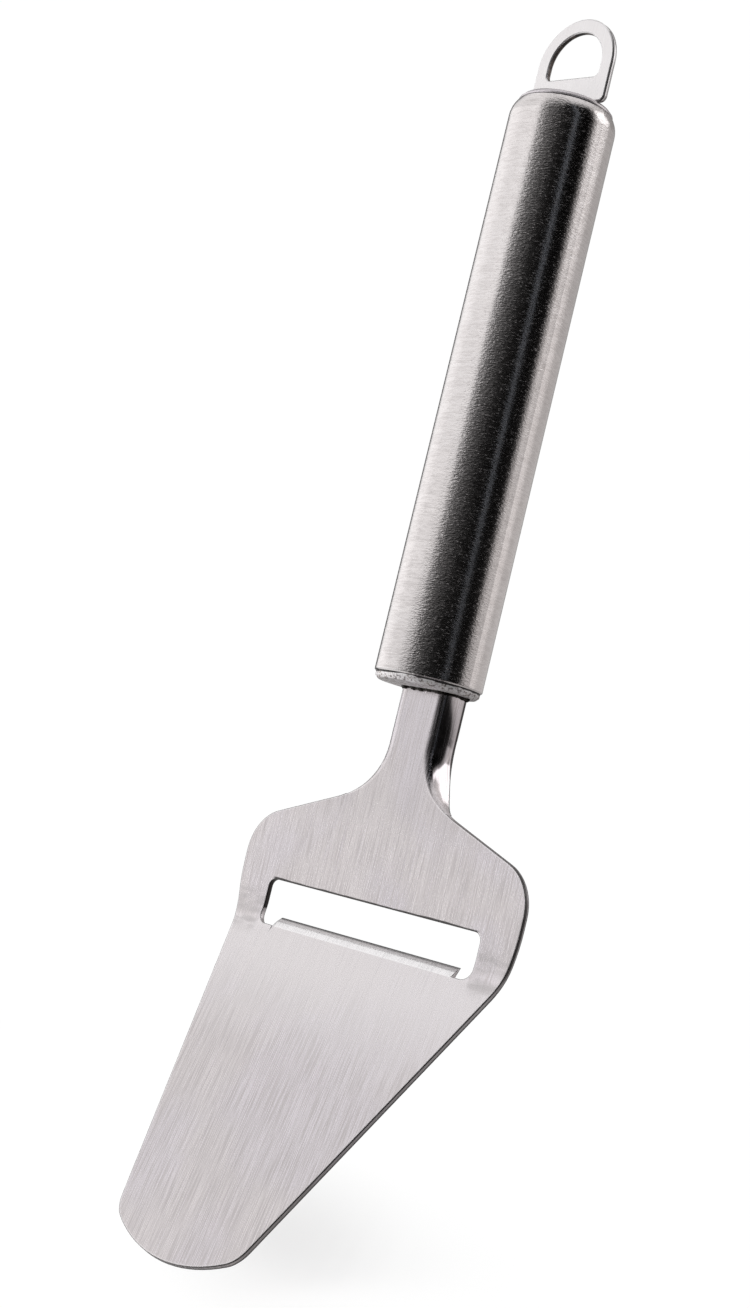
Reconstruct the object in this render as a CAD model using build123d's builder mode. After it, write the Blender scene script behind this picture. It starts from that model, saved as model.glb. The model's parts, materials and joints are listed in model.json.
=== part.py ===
from build123d import *
from math import atan, atan2, cos, degrees, radians, sin, tan
import os

# A cheese slicer with a tube handle. All lengths are in millimetres.
#
# The pieces are drawn along the handle: X across it, Y from the blade to the hanging loop, and
# Z out of the top face. There the origin lies on the tube's axis at its front rim, so the sizes
# whose names end in from_rim run from that rim towards the tip. At the end each piece is laid
# down as the slicer lies on a table: on its cutting edge and on the tube's front rim.

# Handle tube
tube_radius = 11.0
tube_wall = 0.5
tube_length = 119.6
rim_chamfer = 0.3
shoulder_length = 3.2
shoulder_inset = 1.1

# Caps, each with a soft-edged collar on the tube's end and a plug inside it
front_cap_height = 1.4
front_cap_inset = 0.4
rear_cap_height = 1.2
rear_cap_inset = 0.15
cap_edge_chamfer = 0.6
cap_wall = 0.5
plug_length = 5.0
plug_clearance = 0.1
opening_clearance = 0.1

# Blade sheet, seen from the side
sheet = 1.1
blade_top = 1.0
bend_angle = 27.5
bend_radius = 14.0
bend_line_from_rim = 53.1

# Blade outline, seen from above
neck_half_width = 6.8
flare_from_rim = 12.7
flare_radius = 13.8
shoulder_angle = 19.4
shoulder_radius = 9.7
hip_half_width = 38.4
hip_side_length = 15.0
hip_reach = 6.2
tip_corner_half_width = 17.2
tip_corner_from_rim = 111.4
tip_corner_radius = 6.0
tip_from_rim = 116.2

# Slicing slot and cutting edge. The bevel is ground in two facets, which meet at these shares
# of its width and depth.
slot_half_width = 29.5
slot_from_rim = 45.1
slot_corner_radius = 1.7
notch_from_rim = 54.3
notch_corner_radius = 2.2
edge_half_width = 25.0
edge_from_rim = 52.4
bevel_width = 2.8
bevel_break_width_share = 0.5
bevel_break_depth_share = 0.35

# Neck, folded into a channel. Over the flare, where the neck widens into the blade, its flanges
# run out: at each share of the flare's turn they and the fold keep a share of their full size.
# The lead is the last straight stretch before the flare, drawn in one sweep with it.
neck_depth = 5.9
neck_fold_radius = 2.4
tang_length = 10.0
flare_lead = 3.0
flare_turn_shares = (0, 0.21, 0.42, 0.6, 0.74, 0.87)
flange_shares = (1, 0.97, 0.82, 0.56, 0.28, 0.07)
fold_shares = (1, 1, 0.88, 0.66, 0.42, 0.2)

# Hanging loop
loop_thickness = 1.4
loop_half_width = 9.8
loop_side_length = 8.4
loop_gap = 0.5
loop_corner_radius = 1.2
loop_edge_chamfer = 0.2
hole_radius = 6.9
hole_side_length = 3.0
hole_corner_radius = 1.3
loop_tang_half_width = 6.0
loop_tang_length = 8.0

# How far cutting tools run past what they cut
overrun = 5.0

flare_turn = 90 - shoulder_angle
shoulder_end_radius = tube_radius - shoulder_inset


def flare(share):
    """Where the flare is at a share of its turn: distance from the rim, half width, angle."""
    angle = radians(flare_turn * share)
    from_rim = flare_from_rim + flare_radius * sin(angle)
    half_width = neck_half_width + flare_radius * (1 - cos(angle))
    return from_rim, half_width, angle


def channel(plane, half_width, depth, fold, wall, clearance=0):
    """The neck's folded section: a flat top with a flange down each side."""
    top = blade_top + clearance
    bottom = blade_top - depth - clearance
    ceiling = blade_top - sheet - clearance
    outside = half_width + clearance
    inside = half_width - wall - clearance
    with BuildSketch(plane) as section:
        with BuildLine():
            outer = FilletPolyline(
                (-outside, bottom), (-outside, top), (outside, top), (outside, bottom),
                radius=fold,
            )
            inner = FilletPolyline(
                (-inside, bottom), (-inside, ceiling), (inside, ceiling), (inside, bottom),
                radius=fold * (1 - sheet / neck_fold_radius),
            )
            Line(outer @ 0, inner @ 0)
            Line(outer @ 1, inner @ 1)
        make_face()
    return section.sketch


def cap_profile(plane, tube_end_radius, inset, height):
    """Half the section of a cap: a soft-edged collar on the tube's end, and a plug inside it."""
    collar_radius = tube_end_radius - inset
    plug_radius = tube_end_radius - tube_wall - plug_clearance
    inside = plug_radius - cap_wall
    ceiling = height - cap_wall
    with BuildSketch(plane) as section:
        with BuildLine():
            Polyline(
                (0, height), (collar_radius, height), (collar_radius, 0), (plug_radius, 0),
                (plug_radius, -plug_length), (inside, -plug_length), (inside, ceiling), (0, ceiling),
                close=True,
            )
        make_face()
        chamfer(section.vertices().sort_by_distance((collar_radius, height))[0], cap_edge_chamfer)
    return section.sketch


def arch(half_width, side_length, corner_radius):
    """A half disc with straight sides below it, down to a base with rounded corners."""
    with BuildSketch() as section:
        with BuildLine():
            FilletPolyline(
                (-half_width, 0), (-half_width, -side_length), (half_width, -side_length),
                (half_width, 0),
                radius=corner_radius,
            )
            ThreePointArc((half_width, 0), (0, half_width), (-half_width, 0))
        make_face()
    return section.sketch


# Blade outline, seen from above. The hip is where the side turns in towards the tip.
root_from_rim = flare_from_rim + flare_radius * tan(radians(flare_turn) / 2)
shoulder_from_rim = (
    root_from_rim + (hip_half_width - neck_half_width) * tan(radians(shoulder_angle))
)
hip_from_rim = shoulder_from_rim + hip_side_length
hip_turn = atan((hip_half_width - tip_corner_half_width) / (tip_corner_from_rim - hip_from_rim))

with BuildSketch() as outline:
    with BuildLine():
        FilletPolyline(
            (neck_half_width, 0),
            (neck_half_width, -root_from_rim),
            (hip_half_width, -shoulder_from_rim),
            (hip_half_width, -hip_from_rim),
            (tip_corner_half_width, -tip_corner_from_rim),
            radius=(flare_radius, shoulder_radius, hip_reach / tan(hip_turn / 2)),
        )
        mirror(about=Plane.YZ)
        Line((-neck_half_width, 0), (neck_half_width, 0))
        ThreePointArc(
            (-tip_corner_half_width, -tip_corner_from_rim),
            (0, -tip_from_rim),
            (tip_corner_half_width, -tip_corner_from_rim),
        )
    make_face()
    fillet(outline.vertices().group_by(Axis.Y)[0], tip_corner_radius)

# Blade seen from the side: flat heel, bend and raised tip, all on the top face
heel_from_rim = flare(flare_turn_shares[-1])[0]
bend_reach = bend_radius * tan(radians(bend_angle) / 2)

with BuildLine(Plane.YZ) as side_view:
    heel_line = Line((-heel_from_rim, blade_top), (bend_reach - bend_line_from_rim, blade_top))
    bend_line = JernArc(
        start=heel_line @ 1, tangent=heel_line % 1, radius=bend_radius, arc_size=-bend_angle
    )
    tip_line = PolarLine(bend_line @ 1, tip_from_rim, direction=bend_line % 1)

tip_start = tip_line @ 0
tip_forward = tip_line % 0
tip_normal = tip_forward.rotate(Axis.X, -90)

# Slot, seen from above. On the far side it has a notch beside each end of the cutting edge, and
# between them it is cut back to the end of the bend.
with BuildSketch() as slot:
    with Locations((0, -slot_from_rim)):
        Rectangle(
            2 * slot_half_width, notch_from_rim - slot_from_rim, align=(Align.CENTER, Align.MAX)
        )
    fillet(slot.vertices().group_by(Axis.Y)[-1], slot_corner_radius)
    fillet(slot.vertices().group_by(Axis.Y)[0], notch_corner_radius)
    with Locations((0, -slot_from_rim)):
        Rectangle(
            2 * edge_half_width, -tip_start.Y - slot_from_rim, align=(Align.CENTER, Align.MAX)
        )

# Top face of the blade: the side view drawn out sideways and cut to the outline
with BuildPart() as punch:
    with BuildSketch(Plane.XY.offset(-tip_from_rim)):
        add(outline.sketch)
        add(slot.sketch, mode=Mode.SUBTRACT)
    extrude(amount=2 * tip_from_rim)

span = hip_half_width + overrun
strips = [Face.extrude(edge, (2 * span, 0, 0)).moved(Pos(-span, 0, 0)) for edge in side_view.edges()]
top_faces = [face for strip in strips for face in (strip & punch.part).faces()]

# Blade. The cutting edge is the tip's own sheet, run back flat into the slot and ground from
# above down to its underside.
with BuildPart() as blade:
    for face in top_faces:
        thicken(face, amount=-sheet, normal_override=(0, 0, 1))
    with BuildSketch(Plane.YZ):
        with BuildLine():
            root_below = tip_start - tip_normal * sheet
            edge_run = (root_below.Y + edge_from_rim) / tip_forward.Y
            edge_point = root_below - tip_forward * edge_run
            bevel_start = edge_point + tip_normal * sheet + tip_forward * bevel_width
            bevel_break = (
                bevel_start
                - tip_forward * bevel_width * bevel_break_width_share
                - tip_normal * sheet * bevel_break_depth_share
            )
            corners = (tip_start, bevel_start, bevel_break, edge_point, root_below)
            Polyline([(corner.Y, corner.Z) for corner in corners], close=True)
        make_face()
    extrude(amount=edge_half_width, both=True)
    neck = channel(
        Plane.XZ.offset(-tang_length), neck_half_width, neck_depth, neck_fold_radius, sheet
    )
    straight_end = flare_from_rim - flare_lead
    extrude(neck, amount=tang_length + straight_end)
    sections = [
        channel(Plane.XZ.offset(straight_end), neck_half_width, neck_depth, neck_fold_radius, sheet)
    ]
    for turn_share, flange_share, fold_share in zip(flare_turn_shares, flange_shares, fold_shares):
        from_rim, half_width, angle = flare(turn_share)
        depth = sheet + (neck_depth - sheet) * flange_share
        fold = neck_fold_radius * fold_share
        sections += [channel(Plane.XZ.offset(from_rim), half_width, depth, fold, sheet / cos(angle))]
    loft(sections)

# Handle tube, its rear end drawn in to meet the cap
with BuildPart() as handle_tube:
    with BuildSketch():
        with BuildLine():
            bore_radius = tube_radius - tube_wall
            shoulder_start = tube_length - shoulder_length
            shoulder = TangentArc(
                (tube_radius, shoulder_start), (shoulder_end_radius, tube_length), tangent=(0, 1)
            )
            Polyline(
                shoulder @ 1, (shoulder_end_radius - tube_wall, tube_length),
                (bore_radius, shoulder_start), (bore_radius, 0), (tube_radius, 0), shoulder @ 0,
            )
        make_face()
    revolve(axis=Axis.Y)
    front_edges = handle_tube.edges().group_by(Axis.Y)[0]
    chamfer(front_edges.sort_by(SortBy.RADIUS)[-1], rim_chamfer)

# Front cap, with the opening that the neck passes through
with BuildPart() as front_cap:
    revolve(cap_profile(-Plane.XY, tube_radius, front_cap_inset, front_cap_height), axis=Axis.Y)
    neck_opening = channel(
        Plane.XZ.offset(-plug_length - overrun), neck_half_width, neck_depth, neck_fold_radius,
        sheet, opening_clearance,
    )
    extrude(
        neck_opening, amount=plug_length + front_cap_height + 2 * overrun, mode=Mode.SUBTRACT
    )

# Rear cap, with the slot that the hanging loop's tang passes through
rear_end = tube_length + rear_cap_height

with BuildPart() as rear_cap:
    profile = cap_profile(
        Plane((0, tube_length, 0)), shoulder_end_radius, rear_cap_inset, rear_cap_height
    )
    revolve(profile, axis=Axis.Y)
    with BuildSketch(Plane.XZ.offset(-rear_end - overrun)):
        Rectangle(
            2 * (loop_tang_half_width + opening_clearance), loop_thickness + 2 * opening_clearance
        )
    extrude(amount=rear_cap_height + 2 * overrun, mode=Mode.SUBTRACT)

# Hanging loop: a stamped plate with a D-shaped hole and a tang, which holds it off the cap
loop_start = rear_end + loop_gap

with BuildPart() as hanging_loop:
    with BuildSketch(Plane.XY.offset(-loop_thickness / 2)):
        with Locations((0, loop_start)):
            Rectangle(2 * loop_tang_half_width, 2 * loop_tang_length)
        with Locations((0, loop_start + loop_side_length)):
            add(arch(loop_half_width, loop_side_length, loop_corner_radius))
            add(arch(hole_radius, hole_side_length, hole_corner_radius), mode=Mode.SUBTRACT)
    extrude(amount=loop_thickness)
    chamfer(hanging_loop.edges().filter_by(Plane.XY), loop_edge_chamfer)

# Rest place on the table: the tube's front rim and the cutting edge touch it, and the origin
# lies on it, under the middle of the slicer
rest_angle = degrees(atan2(tube_radius + edge_point.Z, rim_chamfer - edge_point.Y))
pieces = {
    "blade": blade,
    "handle_tube": handle_tube,
    "front_cap": front_cap,
    "rear_cap": rear_cap,
    "hanging_loop": hanging_loop,
}
turn = Rot(X=rest_angle)
extent = Compound([turn * piece.part for piece in pieces.values()]).bounding_box()
rest = Pos(0, -extent.center().Y, -extent.min.Z) * turn

os.makedirs("parts", exist_ok=True)
for name, piece in pieces.items():
    piece.part.label = name
    piece.part.locate(rest)
    export_step(piece.part, f"parts/{name}.step")
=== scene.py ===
from math import cos, pi, radians, sin, tan
import json
import random

import bmesh
import bpy
from mathutils import Matrix, Vector


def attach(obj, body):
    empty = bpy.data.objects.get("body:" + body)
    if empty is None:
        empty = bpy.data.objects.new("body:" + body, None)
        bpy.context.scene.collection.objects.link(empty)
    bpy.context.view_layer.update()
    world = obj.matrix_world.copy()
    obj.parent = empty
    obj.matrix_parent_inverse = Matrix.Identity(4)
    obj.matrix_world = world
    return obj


# The looks of a steel cheese slicer. All lengths are in metres.

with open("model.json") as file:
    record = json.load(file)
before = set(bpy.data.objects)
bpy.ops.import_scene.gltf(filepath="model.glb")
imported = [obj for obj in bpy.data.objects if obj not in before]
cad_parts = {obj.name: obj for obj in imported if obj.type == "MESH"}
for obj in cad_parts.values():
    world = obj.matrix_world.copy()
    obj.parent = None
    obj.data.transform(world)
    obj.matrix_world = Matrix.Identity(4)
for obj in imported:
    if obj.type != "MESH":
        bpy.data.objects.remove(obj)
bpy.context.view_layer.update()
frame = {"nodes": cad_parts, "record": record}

# The slicer's own frame: X across it, Y along the handle towards the loop, Z out of the top face,
# with the origin on the handle's axis at its front rim. Every x, y and z below is in this frame.
grip = next(mount for mount in frame["record"]["mounts"] if mount["name"] == "handle_grip")
grip_middle_from_rim = 0.05835
along = Vector(grip["axis"]).normalized()
across = Vector((1, 0, 0))
out = across.cross(along)
rim_centre = Vector(grip["pos_m"]) - along * grip_middle_from_rim
slicer = Matrix.Translation(rim_centre) @ Matrix((across, along, out)).transposed().to_4x4()

# Camera
view_turn = radians(45)
view_tilt = radians(5.17)
view_roll = radians(13.65)
view_offset = Vector((-0.01054, 0.00569, 0.430))
focal_length_px = 2167.4
image_height_px = 1308
sensor_width_mm = 36

# Floor, white to the camera. It takes light and shadow only in one zone beside the tip, given in its
# own x and y, and the share is how much of its white comes from the lamps there
floor_size = 4.0
floor_white = 1.01
floor_light = 0.95
shadow_share = 0.46
shadow_start = (-0.097, -0.122)
shadow_reach = -0.16
shadow_half_width = 0.14
shadow_fade = 0.06

# Lamps over the floor, in a row from above the camera to low on the left, so that the tip's shadow
# is a wedge that fades to the right: the direction and the power of each
lamps = [
    ((0.6, 0.16, 0.8), 0.5),
    ((0.3, 0.06, 0.8), 0.6),
    ((0.0, -0.07, 0.8), 0.8),
    ((-0.3, -0.2, 0.8), 1.6),
    ((-0.6, -0.33, 0.8), 2.2),
    ((-0.95, -0.46, 0.75), 2.8),
    ((-1.3, -0.6, 0.7), 3.2),
    ((-1.8, -0.8, 0.66), 3.6),
]
lamp_distance = 1.4
lamp_size = 0.3

# Brightness of the studio's walls by the angle round the handle's axis, in degrees: 0 is the camera's
# side, where the walls are unlit, and the right is positive. The neck mirrors the first walls, the
# handle's front end the second and its rear end the third.
wall_behind = [(-180, 0.6), (-172, 0.3), (-166, 0.05), (-160, 0.12), (-153, 0.9)]
wall_end = [(165, 0.3), (180, 0.6)]
walls_at_neck = wall_behind + [
    (-146, 1.4), (-122, 1.36), (-112, 1.2), (-88, 1.02), (-80, 0.96), (-72, 0.5), (-66, 0.14),
    (-50, 0.07), (-36, 0.03), (-22, 0.006), (50, 0.004), (66, 0.02), (74, 0.08), (80, 0.26),
    (86, 0.46), (90, 0.58), (100, 0.66), (156, 0.62),
] + wall_end
walls_at_rim = wall_behind + [
    (-146, 1.18), (-128, 1.16), (-116, 1.04), (-106, 0.88), (-88, 0.92), (-62, 0.9), (-56, 0.84),
    (-51, 0.4), (-44, 0.07), (-36, 0.035), (-20, 0.018), (0, 0.004), (24, 0.002), (50, 0.008),
    (61, 0.014), (66, 0.1), (70, 0.5), (80, 0.66), (90, 0.66), (97, 1.02), (107, 0.94), (115, 0.62),
    (156, 0.62),
] + wall_end
walls_at_loop = wall_behind + [
    (-146, 1.22), (-116, 1.27), (-104, 1.17), (-89, 1.14), (-66, 1.24), (-57, 1.12), (-50, 0.5),
    (-44, 0.26), (-30, 0.18), (-20, 0.1), (-8, 0.03), (4, 0.008), (20, 0.002), (54, 0.002), (62, 0.02),
    (69, 0.36), (75, 0.5), (80.5, 1.0), (86, 0.42), (96, 1.0), (104, 0.64), (116, 0.54), (156, 0.46),
] + wall_end
left_wall_tint = (1, 1, 1)
right_wall_tint = (1, 0.97, 0.955)
brightest_wall = 1.7

# Rise is the share of a direction that points along the handle, from -1 at the tip's side to 1 at the
# loop's: where one wall gives way to the next, and a shading of them all
neck_to_rim = (0.058, 0.076)
rim_to_loop = (0.1, 0.32)
wall_shading = [
    (-1, 0.7), (-0.4, 0.7), (-0.12, 0.88), (0.0, 0.91), (0.08, 1.0), (0.34, 1.0), (0.44, 0.745),
    (0.5, 0.72), (0.57, 0.775), (1, 0.93),
]
end_wall_rise = (0.74, 0.95)
end_wall_level = 0.88

# The plain light that every dull surface gets
plain_light = 0.496

# A faint strip of light that leans across the unlit walls, and a bright panel on the right
strip_turn = radians(33.5)
strip_lean = radians(-26)
strip_half_width = radians(4)
strip_rise = (0.0, 0.3)
strip_shares = (0.07, 0.2)
strip_colour = (0.6, 0.66, 0.74)
panel_turn = (radians(80), radians(114))
panel_turn_fade = radians(8)
panel_rise = (0.41, 0.74)
panel_rise_fade = 0.04
panel_colour = (1, 1, 1)

# Neck and front cap, and the weld bead that joins them. The bead's lumps are sine waves along it, it
# is drawn out over a share of its length at both ends, and it has a blob at its first end.
neck_half_width = 0.0068
neck_top = 0.001
neck_depth = 0.0059
neck_fold_radius = 0.0024
cap_face = -0.0014
weld_radius = 0.00052
weld_lumps = (5, 11, 17, 23)
weld_lump_rates = (0.6, 1.4)
weld_lump_height = 0.14
weld_end_size = 0.15
weld_end_slope = 12
weld_blob = 1.3
weld_blob_slope = 14

# Blade, from the rim towards the tip: flare, slot, cutting edge with its ground bevel, bend
flare_end = -0.027
slot_top = -0.0451
slot_half_width = 0.0295
lip_half_width = 0.0251
lip_edge = -0.0524
lip_break = -0.0533
lip_root = -0.0544
bend_middle = -0.0531
bend_angle = radians(27.5)
bend_blend = 0.0025
sheet = 0.0011
tip_grain_turn = radians(13)

# Painted light and shade, and marks, on the blade: the stretches of its sides, slot, cutting edge and
# bend that they cover, and the fades at their ends
hip_ends = (-0.050, -0.034)
hip_fade = 0.006
flare_fade = 0.001
slot_fade = 0.0004
slot_wall_sides = 0.0002
slot_wall_top = 0.0003
notch_depth = 0.0012
slot_line_width = (0.00028, 0.00048)
slot_line_fade = 0.00008
slot_line_start = 0.0002
slot_line_short = 0.0015
slot_line_end = 0.001
lip_side_fade = 0.0002
bevel_fade = 0.0001
root_fade = 0.00012
edge_darkness = (0.05, 0.6)
bend_light_end = -0.082
bend_light_full = lip_root - 0.003
bend_light_fade = 0.001
bend_shade_sides = (slot_half_width - 0.0005, slot_half_width + 0.001)
bend_shade_ends = (bend_middle - 0.001, bend_middle + 0.003)
bend_shade_fade = 0.0035
calm_fade = 0.006
calm_share = 0.1

# Marks on the neck: the painted shade on its hems and on the rims of its flanges beside the flare, the
# polish of its sides, and where that gives way to the blade's haze
hem_top = neck_top - neck_depth + 0.0005
hem_fade = 0.0003
rim_top = neck_top - 0.002
rim_top_fade = 0.0008
rim_start = -0.0165
rim_start_fade = 0.002
polish_top = neck_top - 0.0008
polish_fade = 0.0006
polish_gloss = 0.35
haze_ends = (flare_end + 0.004, flare_end - 0.006)
blade_haze_share = 0.32

# Painted shade on the blade's cut side, standing for the dark walls that its rounded edges reflect, by
# its depth under the top face, from 0 to 1: round the hips of the heel, and elsewhere
hip_side = [(0, 0.9), (0.6, 0.97), (0.7, 0.35), (0.85, 0.3), (0.93, 0.85), (1, 0.9)]
tip_side = [(0, 0.9), (0.2, 0.9), (0.32, 0.15), (0.72, 0.1), (0.84, 0.8), (1, 0.85)]

# How the neck's sides turn with the angle of the fold: early, then slowly once they are steep, and
# bulging with the depth below the fold, the more in the middle of the neck, where they are less steep
early_turn = radians(6)
early_rate = 1.3
steep_turn = radians(64)
steep_rate = 0.2
middle_turn = radians(-11)
bulge_drop = 0.0035
bulge_turn = radians(8)
middle_bulge_turn = radians(14)
middle_from_rim = (-0.001, -0.010)
middle_to_flare = (-0.018, -0.0135)
fold_start = (radians(1), radians(3))
fold_end = (radians(110), radians(98))

# Where the neck flares, its steep sides lean first towards the loop and then more towards the tip
first_lean = 0.17
first_lean_ends = (-0.012, -0.018)
second_lean = -0.42
second_lean_ends = (-0.0175, -0.0235)
lean_fold = (radians(30), radians(80))

# Handle: the scuffs under the palm by the angle round its axis from the top line, and the seams at
# its caps
palm_turn = (radians(22), radians(38))
palm_fade = radians(8)
scuff_depth = 0.00004
palm_scuff_depth = 0.00012
front_seam_edge = (-0.0004, -0.0001)
front_seam_fade = (-0.00008, 0.00004)
tube_end = 0.1196
rear_seam_edge = tube_end + 0.00016
rear_seam_fade = 0.00012

# Hanging loop, with the painted shade on its outer side by its depth, from 0 to 1
hole_centre = 0.1297
hole_radius = 0.0069
hole_fade = 0.0003
loop_sheet = 0.0014
loop_side_fade = 0.0005
loop_side = [
    (0, 0.5), (0.08, 0.97), (0.3, 0.97), (0.36, 0.0), (0.5, 0.0), (0.58, 0.5), (0.9, 0.6), (1, 0.9),
]

# Patterns per metre. Along the slicer they are given across and along the strokes, with a level that
# sets one noise apart from another, and round the handle in x, y and z: for the strokes, the scratches
# and the broad bands of the brushing.
lengthwise_sizes = ((3500.0, 100.0, 0.0), (2600.0, 45.0, 7.0), (330.0, 14.0, 3.0))
round_sizes = ((420.0, 3600.0, 420.0), (1500.0, 3400.0, 1500.0), (40.0, 500.0, 40.0))
score_sizes = (2600.0, 500.0, 5.0)
# Patches of the painted shade at the bend
bend_shade_sizes = (160.0, 520.0, 1.0)
slot_line_sizes = (90.0, 0.0, 0.0)
cloud_size = 42.0
grit_size = 4200.0
stain_size = 380.0
speck_size = 1900.0
front_seam_size = 250.0
hole_scale_size = 700.0

# Where each noise starts to show and where it shows in full, and how much of it shows
cloud_limits = (0.42, 0.6)
stroke_limits = (0.6, 0.34)
scratch_limits = (0.61, 0.69)
band_limits = (0.56, 0.4)
grit_limits = (0.56, 0.3)
frosting_limits = (0.4, 0.68)
scratch_blur_limits = (0.55, 0.66)
scratch_scatter_limits = (0.56, 0.7)
score_limits = (0.3, 0.65)
score_shares = (0.45, 1.0)
# The painted shade at the bend
bend_shade_limits = (0.36, 0.6)
bend_shade_shares = (0.1, 0.75)
stain_limits = (0.42, 0.6)
bare_limits = (0.41, 0.55)
dark_speck_limits = (0.42, 0.34)
even_limits = (0.3, 0.7)
scratch_share = 0.75
scratch_brightness = 1.16
band_share = 0.2
grit_share = 0.4
stroke_frosting = 0.8
cloud_frosting = 0.2

# Painted shade in seams and hollows: how near another face darkens a place, and the openness at which
# the shade in it starts and is in full
crevice_reach = 0.0012
crevice_openness = (0.75, 0.25)

# Edges, by how well the rounded face agrees with the flat one, which is 1 away from every edge: the
# worn line beside it, the painted dark reflection on it, and the painted shade on a flange's rim with its
# fade
worn_meeting = (0.962, 0.99)
edge_shade_meeting = 0.88
rim_meeting = (0.97, 0.028)

# Colours
# Painted shade in seams, hollows and hems, and real dark specks and seam lines
shade_and_dark_mark_colour = (0.016, 0.014, 0.013)
# Painted dark reflection on the edges
edge_shade_colour = (0.11, 0.1, 0.1)
# Nearly black walls: painted shade in the slot, and the hole's wall
dark_wall_colour = (0.02, 0.016, 0.015)
scale_colour = (0.1, 0.078, 0.068)
# Painted highlight on the cutting edge and just past it
highlight_colour = (0.87, 0.83, 0.84)
# Bare bright steel of worn lines and specks, and a painted highlight at the cutting edge's root
bare_and_highlight_colour = (0.97, 0.95, 0.96)
# Painted shade towards the cutting edge, with its grinding scores
scored_shade_colour = (0.36, 0.35, 0.35)
# Painted shade beside the slot's ends, where the sheet bends
bend_shade_colour = (0.5, 0.47, 0.475)
# Painted shade on the cut sides, beside the slot and on the loop's outer wall
side_shade_colour = (0.03, 0.027, 0.026)
stain_colour = (0.5, 0.435, 0.39)
steel_colours = ((0.54, 0.5, 0.505), (0.76, 0.712, 0.716), (0.765, 0.718, 0.755))
handle_colours = ((0.58, 0.545, 0.54), (0.76, 0.725, 0.722), (0.79, 0.75, 0.745))
loop_colours = ((0.8, 0.77, 0.775), (0.86, 0.835, 0.84), (0.88, 0.85, 0.86))
weld_colours = ((0.006, 0.005, 0.005), (0.02, 0.017, 0.015), (0.06, 0.052, 0.046))


class Tree:
    """A node tree, with a short call for each kind of node used here."""

    def __init__(self, owner):
        owner.use_nodes = True
        self.nodes = owner.node_tree.nodes
        self.links = owner.node_tree.links
        self.nodes.clear()

    def node(self, kind, inputs=(), **settings):
        """A node with its settings, and its inputs given as values or as other sockets."""
        made = self.nodes.new(kind)
        for name, value in settings.items():
            setattr(made, name, value)
        for name, value in dict(inputs).items():
            if isinstance(value, bpy.types.NodeSocket):
                self.links.new(value, made.inputs[name])
            else:
                made.inputs[name].default_value = value
        return made

    def math(self, operation, first, second=0.0, third=0.0):
        inputs = {0: first, 1: second, 2: third}
        return self.node("ShaderNodeMath", inputs, operation=operation).outputs[0]

    def absolute(self, value):
        return self.math("ABSOLUTE", value)

    def sum(self, first, second):
        return self.math("ADD", first, second)

    def difference(self, first, second):
        return self.math("SUBTRACT", first, second)

    def product(self, first, *factors):
        for factor in factors:
            first = self.math("MULTIPLY", first, factor)
        return first

    def vector(self, operation, first, second=(0, 0, 0), result="Vector"):
        inputs = {0: first, 1: second}
        return self.node("ShaderNodeVectorMath", inputs, operation=operation).outputs[result]

    def dot(self, first, second):
        return self.vector("DOT_PRODUCT", first, second, "Value")

    def scaled(self, vector, size):
        inputs = {0: vector, "Scale": size}
        return self.node("ShaderNodeVectorMath", inputs, operation="SCALE").outputs[0]

    def combine(self, x, y, z):
        return self.node("ShaderNodeCombineXYZ", {0: x, 1: y, 2: z}).outputs[0]

    def stretched(self, position, sizes):
        """The position with a size per metre for each axis."""
        return self.combine(*[self.product(part, size) for part, size in zip(position, sizes)])

    def on_face(self, x, y, sizes):
        """A point of a flat pattern, with a size per metre along x and along y, and its level."""
        wide, long, level = sizes
        return self.combine(self.product(x, wide), self.product(y, long), level)

    def span(self, value, low, high, to_low=0.0, to_high=1.0, smooth=True):
        """The value's place between two limits, on another scale."""
        return self.node(
            "ShaderNodeMapRange",
            {"Value": value, "From Min": low, "From Max": high, "To Min": to_low, "To Max": to_high},
            interpolation_type="SMOOTHSTEP" if smooth else "LINEAR",
        ).outputs["Result"]

    def below(self, value, limit, fade):
        """One below a limit, falling to nothing over a fade past it."""
        return self.span(value, limit + fade, limit)

    def above(self, value, limit, fade):
        """One above a limit, falling to nothing over a fade before it."""
        return self.span(value, limit - fade, limit)

    def window(self, value, low, high, fade):
        """One between two limits, falling to nothing over a fade outside them."""
        return self.product(self.above(value, low, fade), self.below(value, high, fade))

    def noise(self, vector, detail=2.0, roughness=0.5):
        inputs = {"Vector": vector, "Scale": 1.0, "Detail": detail, "Roughness": roughness}
        return self.node("ShaderNodeTexNoise", inputs).outputs["Fac"]

    def patches(self, position, size, detail=2.0):
        """Noise with the same size each way."""
        return self.noise(self.stretched(position, (size,) * 3), detail)

    def mix(self, share, first, second, blend="MIX"):
        """Two colours mixed by a share, each given as three numbers or as a socket."""
        first, second = [(*part, 1) if isinstance(part, tuple) else part for part in (first, second)]
        inputs = {0: share, 6: first, 7: second}
        return self.node("ShaderNodeMix", inputs, data_type="RGBA", blend_type=blend).outputs[2]

    def paint(self, base, colour, share, most=1.0):
        """A colour laid over the base by a share, times the most that shows."""
        return self.mix(self.product(share, most), base, colour)

    def ramp(self, value, stops):
        """A colour ramp with (position, brightness or colour) stops."""
        made = self.node("ShaderNodeValToRGB", {"Fac": value})
        elements = made.color_ramp.elements
        while len(elements) < len(stops):
            elements.new(0.5)
        for element, (position, colour) in zip(elements, stops):
            element.position = position
            element.color = (*colour, 1) if isinstance(colour, tuple) else (colour, colour, colour, 1)
        return made.outputs["Color"]

    def bump(self, height, depth, normal):
        inputs = {"Strength": 1.0, "Distance": depth, "Height": height, "Normal": normal}
        return self.node("ShaderNodeBump", inputs).outputs["Normal"]


def own_coordinates(tree):
    """The x, y and z of a place in the slicer's own frame."""
    place = tree.node("ShaderNodeTexCoord").outputs["Object"]
    centred = tree.vector("SUBTRACT", place, slicer.translation)
    return [tree.dot(centred, axis) for axis in (across, along, out)]


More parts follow.
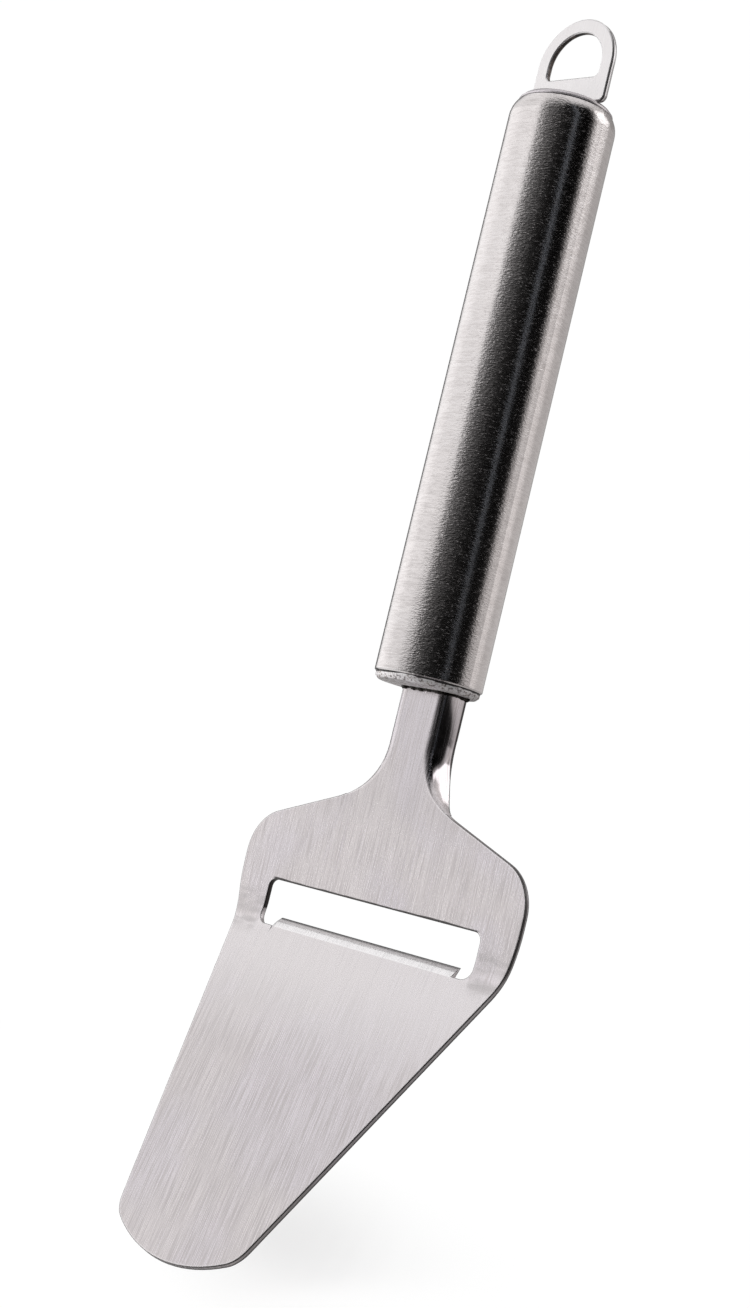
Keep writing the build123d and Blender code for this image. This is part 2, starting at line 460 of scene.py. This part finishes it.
def facing(tree, direction):
    """How squarely a flat face looks along a direction, whichever way round."""
    normal = tree.node("ShaderNodeNewGeometry").outputs["True Normal"]
    return tree.absolute(tree.dot(normal, direction))


def upright(tree, limit, fade):
    """One on a face that stands upright from the top face, falling to nothing as it turns to it."""
    return tree.below(facing(tree, out), limit, fade)


def steel(
    name, grain, tangent, colours, roughness, anisotropy, grain_depth, rounding,
    details=(), strokes=0.75, seam_shade=0.9, scatter=0.1, scuff=0.4, haze=0.0,
    calm=None, gloss=None, shape=None, scuffs=None,
):
    """Brushed steel in a dark, a plain and a light colour.

    The grain stretches the position along the brushing, one unit to a stroke, for the strokes, the
    scratches and the broad bands. The roughness is that of the smoothest and of the roughest stroke,
    and scuff is that of a scratch. The rounding is the radius of the edges. Strokes is how much the
    strokes show, and the next argument how much painted shade darkens the seams and hollows; scatter
    and haze are the shares of the light that a scratch and the whole face scatter.

    The details are functions that change the base colour, given the tree, the position and the edges.
    The last four are functions of the place: calm is how much the brushing fades, gloss a factor of
    the roughness, shape another normal, and scuffs the depth of the scratches. Haze may be one too.
    """
    material = bpy.data.materials.new(name)
    tree = Tree(material)
    position = own_coordinates(tree)
    stroke, scratch, broad = [
        tree.noise(place, detail=2.5, roughness=0.6) for place in grain(tree, *position)
    ]
    cloud = tree.patches(position, cloud_size)
    grit = tree.patches(position, grit_size, detail=1.0)

    dark, plain, light = colours
    bright = tuple(min(1.0, scratch_brightness * part) for part in light)
    base = tree.paint(plain, light, tree.span(cloud, *cloud_limits))
    base = tree.paint(base, dark, tree.span(stroke, *stroke_limits), strokes)
    base = tree.paint(base, bright, tree.span(scratch, *scratch_limits), scratch_share)
    base = tree.paint(base, dark, tree.span(broad, *band_limits), band_share)
    if calm:
        base = tree.paint(base, plain, calm(tree, *position))
    base = tree.paint(base, dark, tree.span(grit, *grit_limits), grit_share)

    normal = tree.node("ShaderNodeBevel", {"Radius": rounding}, samples=10).outputs["Normal"]
    flat = tree.node("ShaderNodeNewGeometry").outputs["Normal"]
    meeting = tree.dot(normal, flat)
    for detail in details:
        base = detail(tree, base, position, meeting)
    # Painted shade: the base colour darkens where nearby faces hide a place
    occlusion = tree.node("ShaderNodeAmbientOcclusion", {"Distance": crevice_reach}, samples=8)
    hidden = tree.span(occlusion.outputs["AO"], *crevice_openness)
    base = tree.paint(base, shade_and_dark_mark_colour, hidden, seam_shade)

    if shape:
        normal = shape(tree, *position, normal)
    if scuffs:
        normal = tree.bump(scratch, scuffs(tree, *position), normal)
    normal = tree.bump(stroke, grain_depth, normal)

    frosting = tree.sum(tree.product(stroke, stroke_frosting), tree.product(cloud, cloud_frosting))
    blur = tree.span(frosting, *frosting_limits, *roughness)
    blur = tree.span(scratch, *scratch_blur_limits, blur, scuff)
    if gloss:
        blur = tree.product(blur, gloss(tree, *position))
    mirror = tree.span(scratch, *scratch_scatter_limits, 1.0, 1.0 - scatter)
    hazy = haze(tree, *position) if callable(haze) else haze
    mirror = tree.product(mirror, tree.difference(1.0, hazy))
    shader = tree.node(
        "ShaderNodeBsdfPrincipled",
        {
            "Base Color": base,
            "Metallic": mirror,
            "Roughness": blur,
            "Anisotropic": anisotropy,
            "Normal": normal,
            "Tangent": tangent(tree),
        },
    )
    tree.node("ShaderNodeOutputMaterial", {"Surface": shader.outputs[0]})
    return material


def across_tangent(tree):
    return tree.combine(*across)


def along_tangent(tree):
    return tree.combine(*along)


def lengthwise_grain(tree, x, y, z):
    """Strokes along the slicer, on its flat faces and on the neck's upright flanges, turned on the tip."""
    on_flange = tree.above(facing(tree, across), 0.8, fade=0.3)
    side = tree.sum(x, tree.product(on_flange, tree.difference(z, x)))
    past_bend = tree.math("MINIMUM", tree.difference(y, bend_middle), 0.0)
    side = tree.math("MULTIPLY_ADD", past_bend, tan(tip_grain_turn) / cos(bend_angle), side)
    return [tree.on_face(side, y, sizes) for sizes in lengthwise_sizes]


def round_grain(tree, x, y, z):
    """Strokes around the handle's axis."""
    return [tree.stretched((x, y, z), sizes) for sizes in round_sizes]


def worn_and_shaded_edges(tree, base, position, meeting):
    """Each edge has a bright worn line beside it, and a painted dark reflection on it."""
    worn = tree.window(meeting, *worn_meeting, fade=0.006)
    dark_edge = tree.below(meeting, edge_shade_meeting, fade=0.07)
    base = tree.paint(base, bare_and_highlight_colour, worn, most=0.7)
    return tree.paint(base, edge_shade_colour, dark_edge, most=0.8)


def shaded_sides(tree, base, position, meeting):
    """Painted shade on the cut sides, for the dark walls they reflect: under the top and at the bottom."""
    x, y, z = position
    slope = tan(bend_angle)
    raised = tree.math("MULTIPLY_ADD", y, -slope, neck_top + bend_middle * slope)
    top = tree.math("SMOOTH_MAX", raised, neck_top, bend_blend)
    depth = tree.span(tree.difference(top, z), 0.0, sheet, smooth=False)
    at_hip = tree.window(y, *hip_ends, hip_fade)
    side_shade = tree.mix(at_hip, tree.ramp(depth, tip_side), tree.ramp(depth, hip_side))

    past_neck = tree.below(y, flare_end - flare_fade, 2 * flare_fade)
    in_slot = tree.product(
        tree.below(tree.absolute(x), slot_half_width + slot_fade, slot_fade),
        tree.window(y, lip_root - slot_fade, slot_top + slot_fade, slot_fade),
    )
    outside = tree.difference(1.0, in_slot)
    steep = upright(tree, 0.45, fade=0.15)
    return tree.paint(base, side_shade_colour, tree.product(side_shade, steep, past_neck, outside))


def shaded_slot(tree, base, position, meeting):
    """Painted shade: the slot's long wall and its side walls are nearly black, down to the notches."""
    x, y, z = position
    side = tree.absolute(x)
    walls = tree.product(
        tree.below(side, slot_half_width + slot_wall_sides, slot_fade),
        tree.window(y, lip_edge + notch_depth, slot_top + slot_wall_top, slot_fade),
        upright(tree, 0.25, fade=0.15),
    )
    base = tree.paint(base, dark_wall_colour, walls, most=0.96)

    # Painted shade: a dark line on the top face along the slot's long side, of an uneven width
    narrow, wide = slot_line_width
    uneven = tree.noise(tree.on_face(x, y, slot_line_sizes))
    line_edge = tree.span(uneven, *even_limits, slot_top + narrow, slot_top + wide)
    line = tree.product(
        tree.below(tree.difference(y, line_edge), -slot_line_fade, 2 * slot_line_fade),
        tree.above(y, slot_top, slot_line_start),
        tree.below(side, slot_half_width - slot_line_short, slot_line_end),
    )
    return tree.paint(base, side_shade_colour, line, most=0.92)


def ground_bevel(tree, base, position, meeting):
    """The cutting edge's facets: painted highlight, brightest at the root, and painted shade with scores
    at the edge.
    """
    x, y, z = position
    on_lip = tree.product(
        tree.below(tree.absolute(x), lip_half_width, lip_side_fade),
        tree.above(facing(tree, out), 0.6, fade=0.1),
    )
    whole = tree.window(y, lip_root, lip_edge - root_fade, bevel_fade)
    base = tree.paint(base, highlight_colour, tree.product(on_lip, whole), most=0.7)
    root = tree.window(y, lip_root, lip_break, root_fade)
    base = tree.paint(base, bare_and_highlight_colour, tree.product(on_lip, root), most=0.9)

    score = tree.noise(tree.on_face(x, y, score_sizes), detail=3.0)
    near_edge = tree.window(y, lip_break, lip_edge + 2 * bevel_fade, bevel_fade)
    darker = tree.span(y, lip_break - bevel_fade, lip_edge, *edge_darkness, smooth=False)
    scored = tree.span(score, *score_limits, *score_shares)
    return tree.paint(base, scored_shade_colour, tree.product(on_lip, near_edge, darker, scored))


def lit_bend(tree, base, position, meeting):
    """A painted highlight: the sheet is brighter just past the cutting edge, where it curves."""
    y = position[1]
    bend_light = tree.product(
        tree.span(y, bend_light_end, bend_light_full),
        tree.below(y, lip_root, bend_light_fade),
    )
    return tree.paint(base, highlight_colour, bend_light, most=0.7)


def bend_shade(tree, base, position, meeting):
    """Painted shade beside the slot's ends, where the sheet bends, in uneven patches."""
    x, y, z = position
    beside_slot = tree.product(
        tree.span(tree.absolute(x), *bend_shade_sides),
        tree.window(y, *bend_shade_ends, bend_shade_fade),
    )
    bend_patches = tree.noise(tree.on_face(x, y, bend_shade_sizes), detail=3.0)
    bend_shading = tree.span(bend_patches, *bend_shade_limits, *bend_shade_shares)
    return tree.paint(base, bend_shade_colour, tree.product(beside_slot, bend_shading))


def shaded_hems(tree, base, position, meeting):
    """Painted shade on the neck's flanges, along their lower edges and all round them where the neck
    flares.
    """
    x, y, z = position
    hem = tree.product(
        tree.below(z, hem_top, hem_fade),
        tree.above(y, flare_end + 2 * flare_fade, 2 * flare_fade),
    )
    rim = tree.product(
        tree.below(meeting, *rim_meeting),
        tree.below(z, rim_top, rim_top_fade),
        tree.below(y, rim_start, rim_start_fade),
        tree.above(y, flare_end + flare_fade, flare_fade),
    )
    return tree.paint(base, shade_and_dark_mark_colour, tree.math("MAXIMUM", hem, rim), most=0.92)


def neck_shape(tree, x, y, z, rounded):
    """The neck's folded sides turn early and then bulge, and they are dished where they flare."""
    upward = tree.dot(rounded, out)
    fold = tree.math("ARCCOSINE", upward)
    sideways = tree.vector("SUBTRACT", rounded, tree.scaled(out, upward))
    sideways = tree.vector("NORMALIZE", sideways)
    outward = tree.product(tree.dot(sideways, across), tree.math("SIGN", x))

    middle = tree.product(tree.span(y, *middle_from_rim), tree.span(y, *middle_to_flare))
    steepest = tree.math("MULTIPLY_ADD", middle, middle_turn, steep_turn)
    steepest = tree.math("MULTIPLY_ADD", fold, steep_rate, steepest)
    turn = tree.math("MINIMUM", tree.math("MULTIPLY_ADD", fold, early_rate, early_turn), steepest)
    drop = tree.math("MAXIMUM", tree.difference(neck_top - neck_fold_radius, z), 0.0)
    bulge = tree.math("MULTIPLY_ADD", middle, middle_bulge_turn / bulge_drop, bulge_turn / bulge_drop)
    turn = tree.math("MULTIPLY_ADD", drop, bulge, turn)

    lean = tree.sum(
        tree.span(y, *first_lean_ends, 0.0, first_lean),
        tree.span(y, *second_lean_ends, 0.0, second_lean),
    )
    lean = tree.product(lean, tree.span(fold, *lean_fold))
    turned = tree.vector(
        "ADD",
        tree.scaled(sideways, tree.math("SINE", turn)),
        tree.scaled(out, tree.math("COSINE", turn)),
    )
    turned = tree.vector("NORMALIZE", tree.vector("ADD", turned, tree.scaled(along, lean)))

    share = tree.product(
        tree.above(y, flare_end, flare_fade),
        tree.above(outward, 0.4, fade=0.2),
        tree.span(fold, *fold_start),
        tree.span(fold, *fold_end),
    )
    inputs = {"Factor": share, 4: rounded, 5: turned}
    return tree.node("ShaderNodeMix", inputs, data_type="VECTOR").outputs[1]


def fold_gloss(tree, x, y, z):
    """The neck's folded sides were polished by the die."""
    folded = tree.product(
        tree.below(z, polish_top, polish_fade),
        tree.above(y, flare_end, flare_fade),
    )
    return tree.math("MULTIPLY_ADD", folded, polish_gloss - 1.0, 1.0)


def blade_haze(tree, x, y, z):
    """The brushed blade scatters light more than its polished neck does."""
    return tree.span(y, *haze_ends, 0.0, blade_haze_share)


def calm_tip(tree, x, y, z):
    """The brushing is fainter past the bend than on the heel and the neck."""
    return tree.span(y, bend_middle, bend_middle + calm_fade, calm_share, 0.0)


def palm_scuffs(tree, x, y, z):
    """The depth of the handle's fine scuffs, which are deepest near its top line, under the palm."""
    turn = tree.math("ARCTAN2", x, z)
    under_palm = tree.window(turn, *palm_turn, palm_fade)
    return tree.math("MULTIPLY_ADD", under_palm, palm_scuff_depth - scuff_depth, scuff_depth)


def heat_stains(tree, base, position, meeting):
    """Brown and grey patches from welding, and bare bright specks between them."""
    patch = tree.patches(position, stain_size, detail=4.0)
    speck = tree.patches(position, speck_size)
    base = tree.paint(base, stain_colour, tree.span(patch, *stain_limits), most=0.7)
    base = tree.paint(base, bare_and_highlight_colour, tree.span(speck, *bare_limits), most=0.9)
    return tree.paint(base, shade_and_dark_mark_colour, tree.span(speck, *dark_speck_limits), most=0.6)


def front_seam(tree, base, position, meeting):
    """A dark line where the front cap leaves the tube."""
    uneven = tree.patches(position, front_seam_size)
    edge = tree.span(uneven, *even_limits, *front_seam_edge)
    line = tree.span(tree.difference(position[1], edge), *front_seam_fade)
    return tree.paint(base, shade_and_dark_mark_colour, line, most=0.95)


def rear_seam(tree, base, position, meeting):
    """A thin dark line where the rear cap leaves the tube."""
    line = tree.below(position[1], rear_seam_edge, rear_seam_fade)
    return tree.paint(base, shade_and_dark_mark_colour, line, most=0.8)


def punched_hole(tree, base, position, meeting):
    """The wall of the loop's hole is painted nearly black, with brownish patches."""
    x, y, z = position
    from_centre = tree.combine(x, tree.difference(y, hole_centre), 0.0)
    distance = tree.vector("LENGTH", from_centre, result="Value")
    wall = tree.product(
        tree.below(distance, hole_radius + hole_fade, hole_fade),
        upright(tree, 0.3, fade=0.2),
    )
    uneven = tree.patches(position, hole_scale_size, detail=3.0)
    colour = tree.mix(tree.span(uneven, *stain_limits), dark_wall_colour, scale_colour)
    return tree.paint(base, colour, wall, most=0.97)


def shaded_outer_side(tree, base, position, meeting):
    """Painted shade on the loop's outer wall by depth: dark under the top face, a thin unpainted line,
    grey below.
    """
    x, y, z = position
    depth = tree.span(z, loop_sheet / 2, -loop_sheet / 2, smooth=False)
    outer = tree.product(
        tree.above(x, hole_radius + loop_side_fade, loop_side_fade),
        upright(tree, 0.6, fade=0.2),
    )
    return tree.paint(base, side_shade_colour, tree.product(tree.ramp(depth, loop_side), outer))


def assign(piece, material):
    piece.data.materials.clear()
    piece.data.materials.append(material)


def studio():
    """White to the camera. Metal sees lit walls round the slicer, with an unlit side at the camera."""
    world = bpy.data.worlds.new("studio")
    bpy.context.scene.world = world
    tree = Tree(world)
    direction = tree.node("ShaderNodeTexCoord").outputs["Generated"]
    to_camera = (across * sin(view_turn) + out * cos(view_turn)).normalized()
    to_right = (across * cos(view_turn) - out * sin(view_turn)).normalized()
    turn = tree.math("ARCTAN2", tree.dot(direction, to_right), tree.dot(direction, to_camera))
    rise = tree.dot(direction, along)

    def wall(levels):
        stops = []
        for angle, level in levels:
            tint = right_wall_tint if angle > 0 else left_wall_tint
            stops.append((angle / 360 + 0.5, tuple(level / brightest_wall * part for part in tint)))
        return tree.ramp(tree.span(turn, -pi, pi, smooth=False), stops)

    seen = tree.mix(tree.span(rise, *neck_to_rim), wall(walls_at_neck), wall(walls_at_rim))
    seen = tree.mix(tree.span(rise, *rim_to_loop), seen, wall(walls_at_loop))
    shading = tree.ramp(
        tree.span(rise, -1.0, 1.0, smooth=False),
        [((place + 1) / 2, level) for place, level in wall_shading],
    )
    seen = tree.mix(1.0, seen, shading, blend="MULTIPLY")

    strip_middle = tree.math("MULTIPLY_ADD", rise, strip_lean, strip_turn)
    strip = tree.product(
        tree.below(tree.absolute(tree.difference(turn, strip_middle)), 0.0, strip_half_width),
        tree.span(rise, *strip_rise, *strip_shares),
    )
    seen = tree.mix(strip, seen, strip_colour)
    panel = tree.product(
        tree.window(turn, *panel_turn, panel_turn_fade),
        tree.window(rise, *panel_rise, panel_rise_fade),
    )
    seen = tree.mix(panel, seen, panel_colour)
    end_wall_colour = (end_wall_level / brightest_wall,) * 3
    seen = tree.mix(tree.span(rise, *end_wall_rise), seen, end_wall_colour)

    rays = tree.node("ShaderNodeLightPath").outputs
    white = (1, 1, 1, 1)

    def background(colour, strength):
        inputs = {"Color": colour, "Strength": strength}
        return tree.node("ShaderNodeBackground", inputs).outputs[0]

    def choose(ray, other, chosen):
        inputs = {0: rays[ray], 1: other, 2: chosen}
        return tree.node("ShaderNodeMixShader", inputs).outputs[0]

    unseen = choose(
        "Is Glossy Ray", background(white, plain_light), background(seen, brightest_wall)
    )
    shown = choose("Is Camera Ray", unseen, background(white, 1.0))
    tree.node("ShaderNodeOutputWorld", {"Surface": shown})


def floor():
    """A white floor that keeps the slicer's shadow beside the tip."""
    half = floor_size / 2
    corners = [(-half, -half, 0), (half, -half, 0), (half, half, 0), (-half, half, 0)]
    mesh = bpy.data.meshes.new("floor")
    mesh.from_pydata(corners, [], [(0, 1, 2, 3)])
    piece = bpy.data.objects.new("floor", mesh)
    bpy.context.scene.collection.objects.link(piece)

    material = bpy.data.materials.new("floor")
    tree = Tree(material)
    rays = tree.node("ShaderNodeLightPath").outputs
    place = tree.node("ShaderNodeTexCoord").outputs["Object"]
    x = tree.dot(place, (1, 0, 0))
    y = tree.dot(place, (0, 1, 0))
    share = tree.product(
        tree.span(y, *shadow_start),
        tree.above(y, shadow_reach, shadow_fade),
        tree.window(x, -shadow_half_width, shadow_half_width, shadow_fade),
        shadow_share,
    )
    lit = tree.node("ShaderNodeBsdfDiffuse", {"Color": tree.combine(share, share, share)})
    unlit = tree.math("MULTIPLY_ADD", share, -floor_light, floor_white)
    glow = tree.node("ShaderNodeEmission", {"Strength": tree.product(rays["Is Camera Ray"], unlit)})
    sum_of_both = tree.node("ShaderNodeAddShader", {0: lit.outputs[0], 1: glow.outputs[0]})
    tree.node("ShaderNodeOutputMaterial", {"Surface": sum_of_both.outputs[0]})
    assign(piece, material)
    piece.visible_glossy = False


def softbox(name, direction, power):
    """A soft lamp that lights the floor, so that the slicer's shadow falls away from it."""
    data = bpy.data.lights.new(name, "AREA")
    data.shape = "DISK"
    data.size = lamp_size
    data.energy = power
    lamp = bpy.data.objects.new(name, data)
    bpy.context.scene.collection.objects.link(lamp)
    direction = Vector(direction).normalized()
    lamp.location = direction * lamp_distance
    lamp.rotation_mode = "QUATERNION"
    lamp.rotation_quaternion = direction.to_track_quat("Z", "Y")
    lamp.visible_glossy = False


def camera():
    data = bpy.data.cameras.new("camera")
    data.sensor_fit = "AUTO"
    data.sensor_width = sensor_width_mm
    data.lens = focal_length_px / image_height_px * sensor_width_mm
    data.clip_start = 0.01
    data.clip_end = 20
    made = bpy.data.objects.new("camera", data)
    bpy.context.scene.collection.objects.link(made)
    made.matrix_world = (
        slicer
        @ Matrix.Rotation(view_turn, 4, "Y")
        @ Matrix.Rotation(view_tilt, 4, "X")
        @ Matrix.Rotation(view_roll, 4, "Z")
        @ Matrix.Translation(view_offset)
    )
    bpy.context.scene.camera = made


def neck_path(steps_per_corner=10, steps_per_side=16):
    """Round the neck's outside where it meets the front cap's face, from flange to flange."""
    radius = neck_fold_radius
    bottom = neck_top - neck_depth
    turn_x = neck_half_width - radius
    turn_z = neck_top - radius
    right = []
    for k in range(steps_per_side):
        right.append((neck_half_width, bottom + (turn_z - bottom) * k / steps_per_side))
    for k in range(steps_per_corner + 1):
        angle = pi / 2 * k / steps_per_corner
        right.append((turn_x + radius * cos(angle), turn_z + radius * sin(angle)))
    for k in range(1, steps_per_side):
        right.append((turn_x * (1 - k / steps_per_side), neck_top))
    left = [(-x, z) for x, z in reversed(right)]
    return [Vector((x, cap_face, z)) for x, z in right + [(0, neck_top)] + left]


def bead(name, path, seed, sides=10):
    """A weld bead along a path in the slicer's frame, uneven and drawn out at both ends."""
    chance = random.Random(seed)
    waves = [(chance.uniform(*weld_lump_rates), chance.uniform(0, 2 * pi)) for _ in weld_lumps]
    handle_axis = Vector((0, 1, 0))
    mesh = bmesh.new()
    rings = []
    last = len(path) - 1
    for index, point in enumerate(path):
        before, after = path[max(index - 1, 0)], path[min(index + 1, last)]
        side = (after - before).normalized().cross(handle_axis).normalized()
        share = index / last
        end = min(1.0, weld_end_slope * min(share, 1 - share) + weld_end_size)
        lump = 0
        for lumps, (rate, start) in zip(weld_lumps, waves):
            lump += sin(2 * pi * share * lumps * rate + start)
        blob = weld_blob * max(0.0, 1 - weld_blob_slope * share)
        size = weld_radius * (end * (1 + weld_lump_height * lump) + blob)
        ring = []
        for k in range(sides):
            angle = 2 * pi * k / sides
            place = point + side * size * cos(angle) + handle_axis * size * sin(angle)
            ring.append(mesh.verts.new(slicer @ place))
        rings.append(ring)
    for first, second in zip(rings, rings[1:]):
        for k in range(sides):
            beside = (k + 1) % sides
            mesh.faces.new((first[k], first[beside], second[beside], second[k]))
    mesh.faces.new(rings[0])
    mesh.faces.new(reversed(rings[-1]))
    bmesh.ops.recalc_face_normals(mesh, faces=mesh.faces)
    for face in mesh.faces:
        face.smooth = True
    data = bpy.data.meshes.new(name)
    mesh.to_mesh(data)
    mesh.free()
    piece = bpy.data.objects.new(name, data)
    bpy.context.scene.collection.objects.link(piece)
    return piece


blade_steel = steel(
    "blade_steel", lengthwise_grain, across_tangent, steel_colours,
    roughness=(0.18, 0.34), anisotropy=0.7, grain_depth=0.000003, rounding=0.0005,
    strokes=0.95, seam_shade=0.5, haze=blade_haze, calm=calm_tip, gloss=fold_gloss, shape=neck_shape,
    details=(
        lit_bend, bend_shade, worn_and_shaded_edges, ground_bevel, shaded_sides, shaded_slot, shaded_hems,
    ),
)
handle_steel = steel(
    "handle_steel", round_grain, along_tangent, handle_colours,
    roughness=(0.1, 0.2), anisotropy=0.8, grain_depth=0.000004, rounding=0.0003,
    scatter=0.07, scuff=0.3, scuffs=palm_scuffs,
    details=(worn_and_shaded_edges,),
)
front_cap_steel = steel(
    "front_cap_steel", round_grain, along_tangent, steel_colours,
    roughness=(0.5, 0.65), anisotropy=0.0, grain_depth=0.000004, rounding=0.0005,
    seam_shade=0.25, scatter=0.3, haze=0.45,
    details=(heat_stains, front_seam),
)
rear_cap_steel = steel(
    "rear_cap_steel", round_grain, along_tangent, steel_colours,
    roughness=(0.22, 0.34), anisotropy=0.3, grain_depth=0.000002, rounding=0.0005,
    seam_shade=0.25, haze=0.3,
    details=(rear_seam,),
)
loop_steel = steel(
    "loop_steel", lengthwise_grain, across_tangent, loop_colours,
    roughness=(0.28, 0.4), anisotropy=0.3, grain_depth=0.0000012, rounding=0.0003,
    seam_shade=0.6, haze=0.15,
    details=(punched_hole, worn_and_shaded_edges, shaded_outer_side),
)
weld_steel = steel(
    "weld_steel", round_grain, along_tangent, weld_colours,
    roughness=(0.35, 0.5), anisotropy=0.0, grain_depth=0.000006, rounding=0.0001,
)

assign(frame["nodes"]["blade"], blade_steel)
assign(frame["nodes"]["handle_tube"], handle_steel)
assign(frame["nodes"]["front_cap"], front_cap_steel)
assign(frame["nodes"]["rear_cap"], rear_cap_steel)
assign(frame["nodes"]["hanging_loop"], loop_steel)

neck_weld = bead("neck_weld", neck_path(), seed=4)
assign(neck_weld, weld_steel)
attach(neck_weld, "root")

studio()
floor()
for index, (direction, power) in enumerate(lamps):
    softbox(f"lamp_{index}", direction, power)
camera()
bpy.context.scene.view_settings.view_transform = "Standard"
